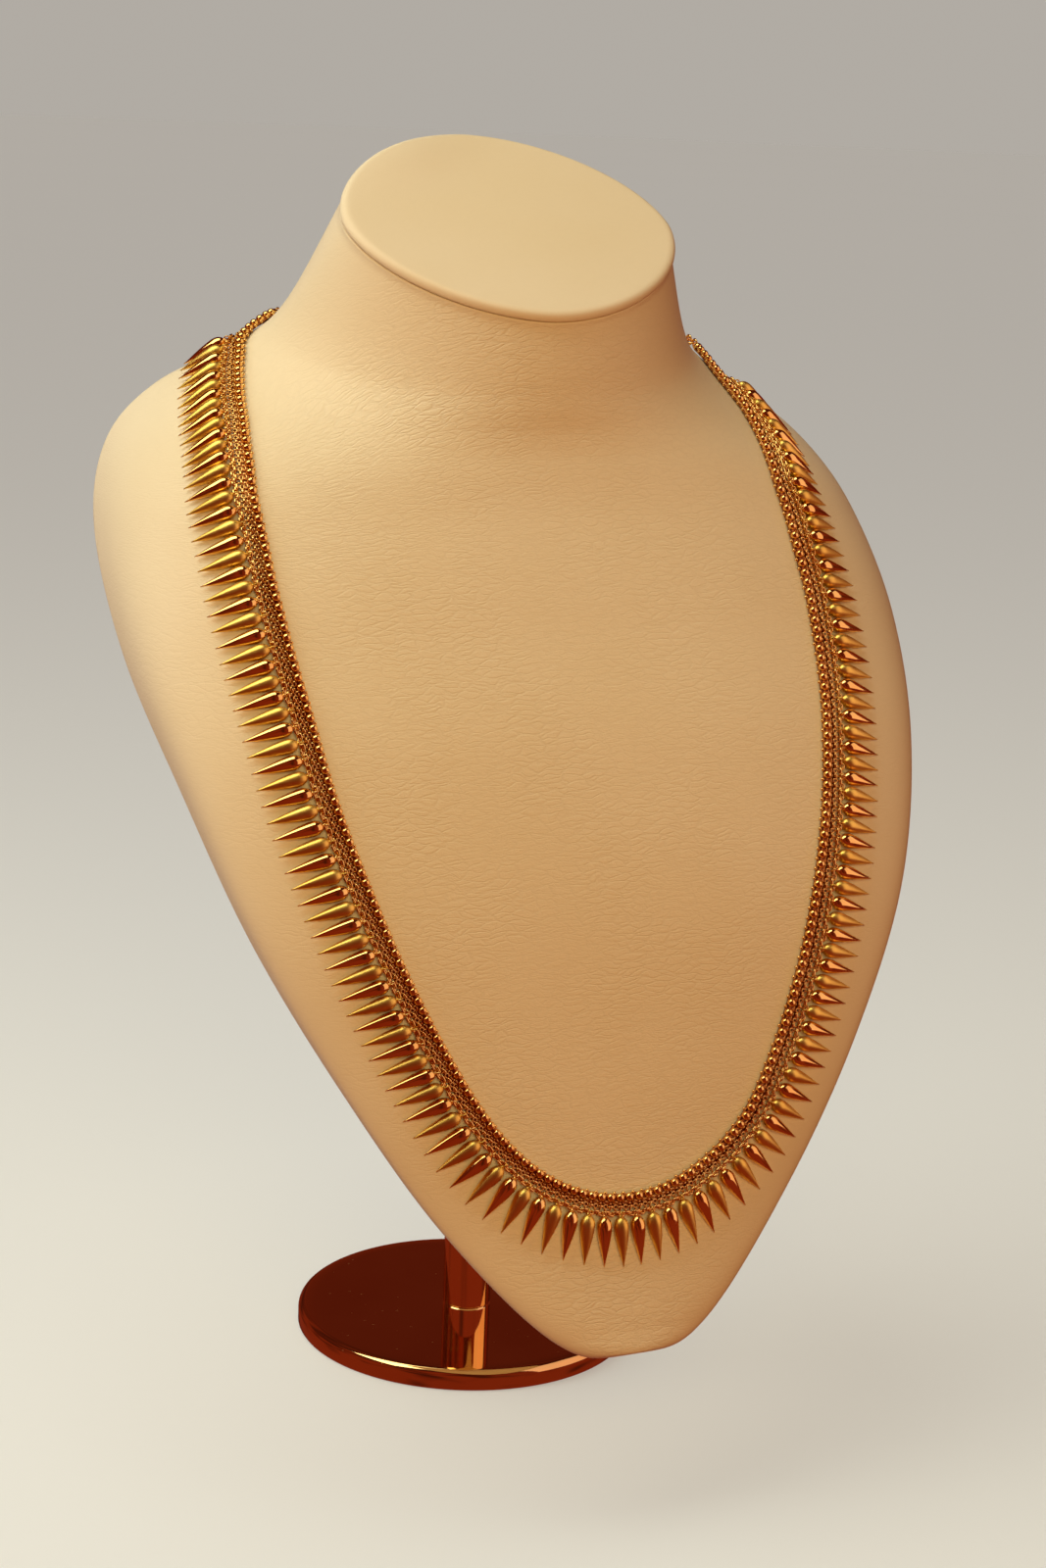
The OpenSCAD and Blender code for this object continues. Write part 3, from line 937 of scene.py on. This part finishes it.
def rings_shape(side, start, stop):
    """Some of the back chain's rings."""
    s, turn = ring_places(side)
    return repeat(ring(LINK_R, LINK_WIRE, 24, 10), *link_axes(s[start:stop], turn[start:stop]))


def band_end_shape(side):
    """Ball at the band's end, with the chain's first ring."""
    spot = Strip(np.array([side * END_BALL_AT]))
    centre = spot.over(END_OUT, np.full(1, END_BALL_D / 2 + SKIN_GAP))
    stud = ball(END_BALL_D / 2, 24, 14).moved(centre[0])
    return join([stud, rings_shape(side, 0, 1)])


def clasp_shape():
    """Plain barrel with rounded ends and an eye at each end."""
    spots = []
    for side in (RIGHT, LEFT):
        s, turn = ring_places(side)
        spots.append(link_axes(s[-1:], turn[-1:])[0][0])
    z = unit(spots[1] - spots[0])
    y = unit(np.cross(z, [0.0, 0, 1]))
    half, r = CLASP_LENGTH / 2, CLASP_D / 2
    rounding, seam, seam_depth = 0.5, 1.2, 0.12
    profile = round_corner((r - rounding, rounding - half), rounding, -90, 0, 6)
    profile += [(r, -seam), (r - seam_depth, -1.05), (r - seam_depth, 1.05), (r, seam)]
    profile += round_corner((r - rounding, half - rounding), rounding, 0, 90, 6)
    middle = (spots[0] + spots[1]) / 2
    axes = [np.asarray(v)[None] for v in (middle, np.cross(y, z), y, z)]
    barrel = repeat(turned(profile, 32), *axes)
    return join([barrel, *(rings_shape(side, -1, None) for side in (RIGHT, LEFT))])


# Properties


def color_property(name, description, default):
    """Colour from 0 to 1 in red, green and blue."""
    return bpy.props.FloatVectorProperty(
        name=name, description=description, subtype="COLOR", size=3,
        default=default, min=0.0, max=1.0,
    )


def roughness_property(name, description, default):
    """Roughness from 0, a mirror, to 1."""
    return bpy.props.FloatProperty(
        name=name, description=description, subtype="FACTOR",
        default=default, min=0.0, max=1.0,
    )


class NecklaceMetal(bpy.types.PropertyGroup):
    """Colours and polish of the gold and brass."""

    gold: color_property("Gold", "Colour of the polished gold", (1.0, 0.64, 0.20))
    deep_gold: color_property("Deep gold", "Its darker drift", (0.96, 0.55, 0.15))
    satin: color_property("Satin gold", "Colour of the satin buds", (1.0, 0.68, 0.14))
    deep_satin: color_property("Deep satin", "Its darker drift", (0.94, 0.60, 0.11))
    brass: color_property("Brass", "Colour of the stand", (0.88, 0.56, 0.22))
    deep_brass: color_property("Deep brass", "Its darker drift", (0.80, 0.46, 0.16))
    # Painted shade and painted reflection: the woven ground's dark red stands for the shade in
    # its gaps and the red room mirrored in the gold
    woven: color_property("Woven gold", "Colour under the woven links", (0.45, 0.17, 0.05))
    deep_woven_painted_shade: color_property("Deep woven", "Its darker drift", (0.32, 0.10, 0.03))
    polish: roughness_property("Polish", "Roughness of the polished gold", 0.09)
    satin_roughness: roughness_property("Satin", "Roughness of the satin buds", 0.4)
    woven_roughness: roughness_property("Woven", "Roughness under the links", 0.3)
    brass_roughness: roughness_property("Brass polish", "Roughness of the stand", 0.07)
    bead_diameter: bpy.props.FloatProperty(
        name="Bead diameter", description="Diameter of a bead in millimetres",
        default=2.6, min=2.0, max=2.8,
    )


class NecklaceForm(bpy.types.PropertyGroup):
    """Colours of the leather bust."""

    leather: color_property("Leather", "Colour of the leather", (0.87, 0.73, 0.48))
    shade: color_property("Leather drift", "Its darker drift", (0.84, 0.69, 0.43))
    cap: color_property("Cap", "Colour of the cap's leather", (0.88, 0.74, 0.50))


class NecklaceStage(bpy.types.PropertyGroup):
    """Colours of the floor and the lights."""

    floor: color_property("Floor", "Colour of the floor", (0.55, 0.53, 0.49))
    glow: color_property("Floor glow", "Even light of the floor", (0.33, 0.34, 0.31))
    backdrop: color_property("Backdrop", "Colour behind the floor", (0.44, 0.41, 0.37))
    room: color_property("Room", "Red of the room", (0.20, 0.026, 0.011))
    dark_room: color_property("Dark room", "Red of its deep folds", (0.06, 0.010, 0.006))
    key: color_property("Key light", "Colour of the key light", (0.95, 1.0, 0.90))
    front: color_property("Front light", "Colour of the front light", (1.0, 0.83, 0.42))
    left: color_property("Left light", "Colour of the left light", (0.91, 0.95, 1.0))
    low: color_property("Low light", "Colour of the low light", (1.0, 0.38, 0.17))
    back: color_property("Back light", "Soft light from behind the bust", (0.85, 0.80, 0.72))
    panel: color_property("Right panel", "Colour the metal mirrors", (1.0, 0.72, 0.64))


def metal():
    """The metal's properties."""
    return bpy.context.scene.necklace_metal


def polished():
    """The polished gold that most pieces share, made once."""
    return bpy.data.materials.get("gold_polish") or gold_finish(
        "gold_polish", metal().gold, metal().deep_gold, metal().polish, grain=0.03
    )


def add_polished(name, shape, *nodes, sharp=None):
    """A piece of polished gold."""
    add_piece(name, shape, polished(), "polished_gold", *nodes, sharp=sharp)


# Operators


class NECKLACE_OT_form(bpy.types.Operator):
    """Make the leather bust and the padded cap on its neck"""

    bl_idname = "necklace.form"
    bl_label = "Leather bust"

    def execute(self, context):
        colors = context.scene.necklace_form
        shade = colors.shade
        leather = leather_finish("bust_leather", colors.leather, shade, crease=0.9, fine=0.10)
        smooth = leather_finish("cap_leather", colors.cap, shade, crease=0.25, fine=0.08)
        shape, wrinkle = form_shape(rows=230, columns=320)
        add_piece(
            "bust_leather", shape, leather, "leatherette", "neck_form", wrinkle=wrinkle
        )
        cap = neck_cap_shape(columns=320)
        add_piece("cap_leather", cap, smooth, "leatherette", "neck_cap", wrinkle=0.16)
        return {"FINISHED"}


class NECKLACE_OT_stand(bpy.types.Operator):
    """Make the brass base plate and its post"""

    bl_idname = "necklace.stand"
    bl_label = "Brass stand"

    def execute(self, context):
        m = metal()
        brass = brass_finish("brass", m.brass, m.deep_brass, m.brass_roughness)
        base = base_shape().moved(-POST_FOOT)
        add_piece("brass_base", base, brass, "brass", "base_plate", sharp=40)
        add_piece("brass_post", post_shape(), brass, "brass", "post", sharp=40)
        return {"FINISHED"}


class NECKLACE_OT_band(bpy.types.Operator):
    """Make the beaded band: ground, studs, beads and woven links"""

    bl_idname = "necklace.band"
    bl_label = "Beaded band"

    def execute(self, context):
        m = metal()
        # The band's ground gets a dark red gold: painted shade and painted red reflection between
        # the links
        woven = gold_finish("woven_gold_painted_shade", m.woven, m.deep_woven_painted_shade, m.woven_roughness, grain=0.1)
        for name, side in SIDES.items():
            ground, beads = ground_shape(side), bead_row_shape(side, m.bead_diameter)
            add_piece(
                f"band_ground_{name}", ground, woven, "polished_gold", f"bead_band_{name}"
            )
            add_polished(f"band_studs_{name}", studs_shape(side))
            add_polished(f"bead_row_{name}", beads)
            add_polished(f"woven_links_{name}", mesh_shape(side))
        return {"FINISHED"}


class NECKLACE_OT_outer_chain(bpy.types.Operator):
    """Make the flat twisted chain that carries the buds"""

    bl_idname = "necklace.outer_chain"
    bl_label = "Outer chain"

    def execute(self, context):
        for name, side in SIDES.items():
            add_polished(f"outer_chain_{name}", outer_chain_shape(side), f"bud_chain_{name}")
        return {"FINISHED"}


class NECKLACE_OT_buds(bpy.types.Operator):
    """Make the satin and the polished jasmine buds"""

    bl_idname = "necklace.buds"
    bl_label = "Jasmine buds"

    def execute(self, context):
        m = metal()
        satin = gold_finish(
            "gold_satin", m.satin, m.deep_satin, m.satin_roughness, grain=0.12
        )
        add_piece("jasmine_buds_satin", buds_shape(0), satin, "satin_gold", "satin_buds")
        add_polished("jasmine_buds_polished", buds_shape(1), "polished_buds")
        return {"FINISHED"}


class NECKLACE_OT_back_chain(bpy.types.Operator):
    """Make the band's end studs, the back chains and the clasp"""

    bl_idname = "necklace.back_chain"
    bl_label = "Back chain and clasp"

    def execute(self, context):
        for name, side in SIDES.items():
            add_polished(f"end_stud_{name}", band_end_shape(side), f"band_end_{name}")
            add_polished(f"ring_chain_{name}", rings_shape(side, 1, -1), f"back_chain_{name}")
        add_polished("barrel_clasp", clasp_shape(), "clasp", sharp=50)
        return {"FINISHED"}


# Stage, in metres: the camera's place and axes, its lens and sensor in millimetres, the
# point that the lights face, and the floor's radius and depth under the base plate

CAMERA_PLACE = Vector((-0.3843, -0.8458, 0.4127))
CAMERA_RIGHT = Vector((0.9078, -0.4175, 0.0390))
CAMERA_UP = Vector((0.0639, 0.2296, 0.9712))
CAMERA_BACK = Vector((-0.4144, -0.8792, 0.2351))
LENS, SENSOR = 67.5, 36.0
AIM = Vector((-0.02, -0.06, 0.22))
FLOOR_RADIUS, FLOOR_DEPTH = 20.0, 0.0002


def add_light(name, place, size, watts, color, mirrored, lights):
    """Soft panel at a place, facing the object. Size is its width and height; metal
    mirrors it only if mirrored, and it lights only if lights."""
    light = bpy.data.lights.new(name, "AREA")
    light.shape, light.size, light.size_y = "RECTANGLE", *size
    light.energy, light.color = watts, color
    lamp = bpy.data.objects.new(name, light)
    lamp.location = place
    lamp.rotation_euler = (AIM - Vector(place)).to_track_quat("-Z", "Y").to_euler()
    lamp.visible_camera = False
    lamp.visible_glossy, lamp.visible_diffuse = mirrored, lights
    bpy.context.scene.collection.objects.link(lamp)


def from_camera(right, up, back, distance):
    """Place at a distance from the object, in the directions of the photograph."""
    way = CAMERA_RIGHT * right + CAMERA_UP * up + CAMERA_BACK * back
    return AIM + way.normalized() * distance


def fill_world(colors):
    """Pale backdrop. What the surroundings light and what the metal mirrors is a red
    room in soft folds of tone, deeper towards the top; soft light comes from behind,
    which the metal doesn't mirror."""
    world = bpy.data.worlds.new("studio")
    bpy.context.scene.world = world
    tree = Tree(world)
    way = tree.node("TexCoord", {}, out="Generated")
    _, behind, above = tree.split(way)
    folds = tree.noise(way, 2.4, 1.0) - above * 0.25
    room = tree.mix(tree.ramp(folds, 0.30, 0.62), rgb(colors.dark_room), rgb(colors.room))
    lighting = tree.ramp(behind, 0.2, 1.0) * tree.node("LightPath", {}, out="Is Diffuse Ray")
    lit = tree.mix(lighting, room, rgb(colors.back))
    seen = tree.node("LightPath", {}, out="Is Camera Ray")
    shown = tree.mix(seen, lit, rgb(colors.backdrop))
    tree.feed(tree.nodes["Background"].inputs["Color"], shown)


def make_floor(colors):
    """Round floor with an even glow of its own, which no piece mirrors or is lit by."""
    corners = 64
    a = np.radians(np.arange(corners) * 360 / corners)
    rim = np.stack([FLOOR_RADIUS * np.cos(a), FLOOR_RADIUS * np.sin(a), 0 * a - FLOOR_DEPTH], -1)
    mesh = bpy.data.meshes.new("floor")
    mesh.from_pydata(rim, [], [list(range(corners))])
    finish = Finish("floor_paint", Roughness=0.9, Specular_IOR_Level=0.1)
    finish.set(Emission_Color=rgb(colors.glow), Emission_Strength=1.0)
    tone = finish.noise(finish.coordinates(), 0.6)
    deep = tuple(c * 0.97 for c in colors.floor)
    finish.set(Base_Color=finish.mix(tone, rgb(colors.floor), rgb(deep)))
    mesh.materials.append(finish.material)
    floor = bpy.data.objects.new("floor", mesh)
    floor.visible_glossy = floor.visible_diffuse = False
    bpy.context.scene.collection.objects.link(floor)
    floor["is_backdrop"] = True


def place_camera():
    """Camera at the photograph's viewing angle."""
    data = bpy.data.cameras.new("camera")
    data.lens, data.sensor_width = LENS, SENSOR
    camera = bpy.data.objects.new("camera", data)
    axes = Matrix((CAMERA_RIGHT, CAMERA_UP, CAMERA_BACK)).transposed().to_4x4()
    camera.matrix_world = Matrix.Translation(CAMERA_PLACE) @ axes
    bpy.context.scene.collection.objects.link(camera)
    bpy.context.scene.camera = camera


class NECKLACE_OT_stage(bpy.types.Operator):
    """Make the pale floor, the soft lights and the camera"""

    bl_idname = "necklace.stage"
    bl_label = "Floor, lights and camera"

    def execute(self, context):
        colors = context.scene.necklace_stage
        make_floor(colors)
        fill_world(colors)
        small = (0.5, 0.5)
        for name, way, distance, size, watts, color, mirrored, lights in (
            ("key_light", (-0.40, 0.85, 0.35), 1.1, (0.75, 1.3), 9.6, colors.key, True, True),
            ("front_light", (0.1, 0.1, 0.95), 1.3, small, 6.0, colors.front, False, True),
            ("left_light", (-0.9, 0.25, 0.35), 1.2, small, 2.2, colors.left, False, True),
            ("low_light", (0.4, -0.45, 0.75), 1.2, small, 4.3, colors.low, False, True),
            ("right_panel", (0.95, 0.20, 0.25), 1.0, (1.1, 1.5), 4.4, colors.panel, True, False),
        ):
            add_light(name, from_camera(*way, distance), size, watts, color, mirrored, lights)
        place_camera()
        context.scene.view_settings.view_transform = "Standard"
        return {"FINISHED"}


# Panel and registration


class NECKLACE_PT_panel(bpy.types.Panel):
    """Lists the sizes, the colours and the operators"""

    bl_label = "Necklace"
    bl_idname = "NECKLACE_PT_panel"
    bl_space_type = "VIEW_3D"
    bl_region_type = "UI"
    bl_category = "Necklace"

    def draw(self, context):
        layout = self.layout
        for group in GROUPS:
            settings = getattr(context.scene, group)
            for name in settings.__annotations__:
                layout.prop(settings, name)
        for operator in OPERATORS:
            layout.operator(operator.bl_idname)


OPERATORS = (
    NECKLACE_OT_form,
    NECKLACE_OT_stand,
    NECKLACE_OT_band,
    NECKLACE_OT_outer_chain,
    NECKLACE_OT_buds,
    NECKLACE_OT_back_chain,
    NECKLACE_OT_stage,
)
GROUPS = {
    "necklace_metal": NecklaceMetal,
    "necklace_form": NecklaceForm,
    "necklace_stage": NecklaceStage,
}


def register():
    for kind in (*GROUPS.values(), *OPERATORS, NECKLACE_PT_panel):
        bpy.utils.register_class(kind)
    for name, kind in GROUPS.items():
        setattr(bpy.types.Scene, name, bpy.props.PointerProperty(type=kind))


def unregister():
    for name in GROUPS:
        delattr(bpy.types.Scene, name)
    for kind in (NECKLACE_PT_panel, *OPERATORS, *GROUPS.values()):
        bpy.utils.unregister_class(kind)


def main():
    register()
    for operator in OPERATORS:
        group, name = operator.bl_idname.split(".")
        getattr(getattr(bpy.ops, group), name)()
    boxes = {"cad": CAD_BOUNDS, "visual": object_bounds()}
    boxes = {name: [list(corner) for corner in box] for name, box in boxes.items()}


if __name__ == "__main__":
    main()
